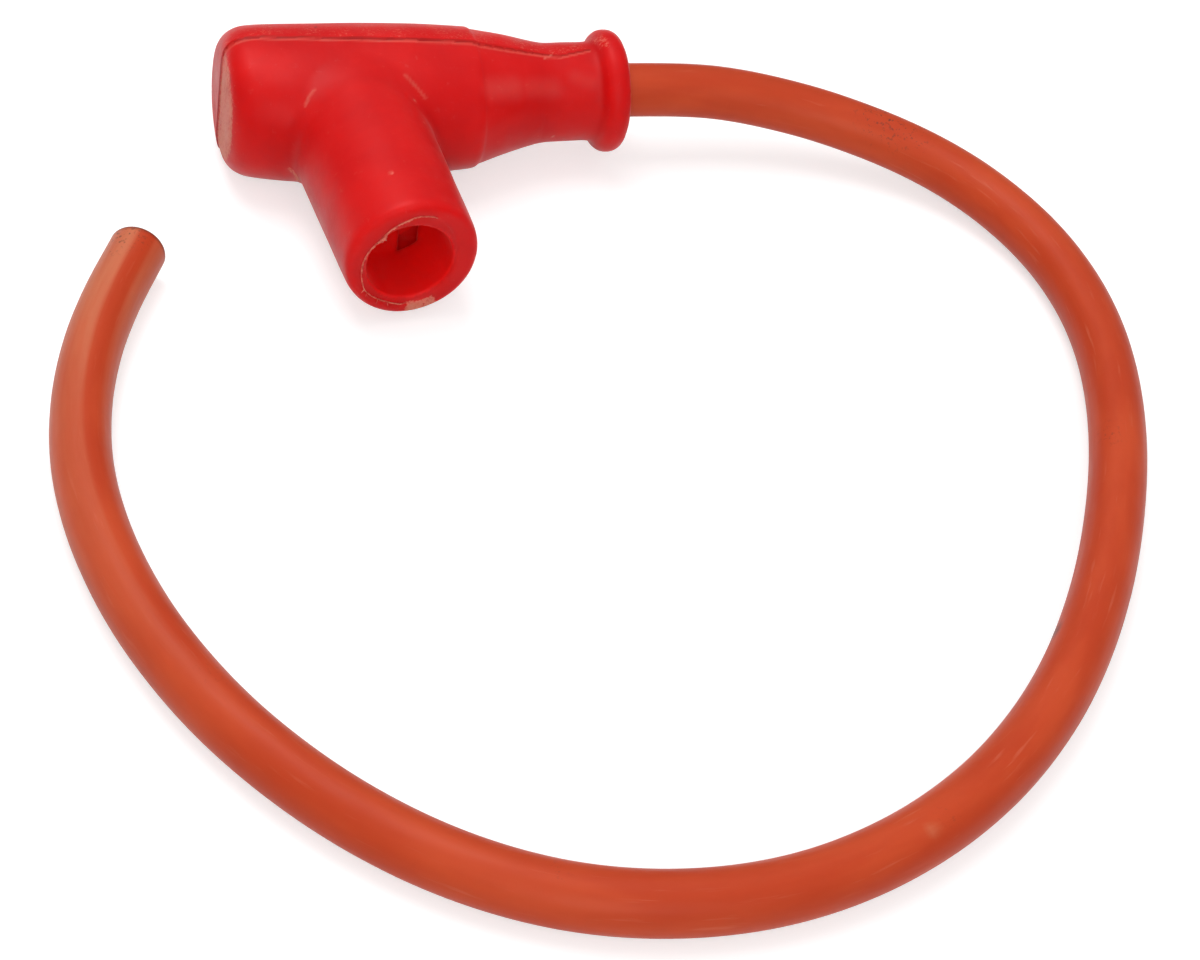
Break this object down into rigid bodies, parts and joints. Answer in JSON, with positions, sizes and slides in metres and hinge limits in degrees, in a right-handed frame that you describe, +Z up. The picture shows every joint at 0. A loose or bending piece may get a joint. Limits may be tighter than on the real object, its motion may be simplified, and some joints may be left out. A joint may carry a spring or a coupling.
{
  "type": "spark plug wire",
  "caption": "Ignition cable lying in an open loop, with a moulded silicone elbow cap for the spark plug on its end and a bare cut at the other.",
  "frame": {"origin": "bottom centre of the elbow cap's bounding box, at the level that the cap and the cable lie on", "axes": "+Z up from the surface that the part lies on, -Y out of the plug socket's mouth, +X roughly along the cap's body towards the cable's exit"},
  "size_m": [0.1577, 0.1642, 0.022],
  "materials": {
    "red_silicone": "satin moulded silicone",
    "orange_silicone": "satin extruded silicone",
    "white_insulation": "matt",
    "brass": "turned",
    "spring_steel": "drawn wire",
    "plated_steel": "pressed and plated",
    "resistor_ceramic": "matt",
    "tinned_copper": "stranded wire"
  },
  "bodies": {
    "root": {"cap_boot": "red_silicone", "plug_contact": "brass", "contact_clip": "spring_steel", "contact_spring": "spring_steel", "resistor_rod": "resistor_ceramic", "resistor_cap_inner": "plated_steel", "resistor_cap_outer": "plated_steel", "cable_screw": "brass", "cable_jacket": "orange_silicone", "cable_insulation": "white_insulation", "cable_conductor": "tinned_copper"}
  },
  "joints": []
}
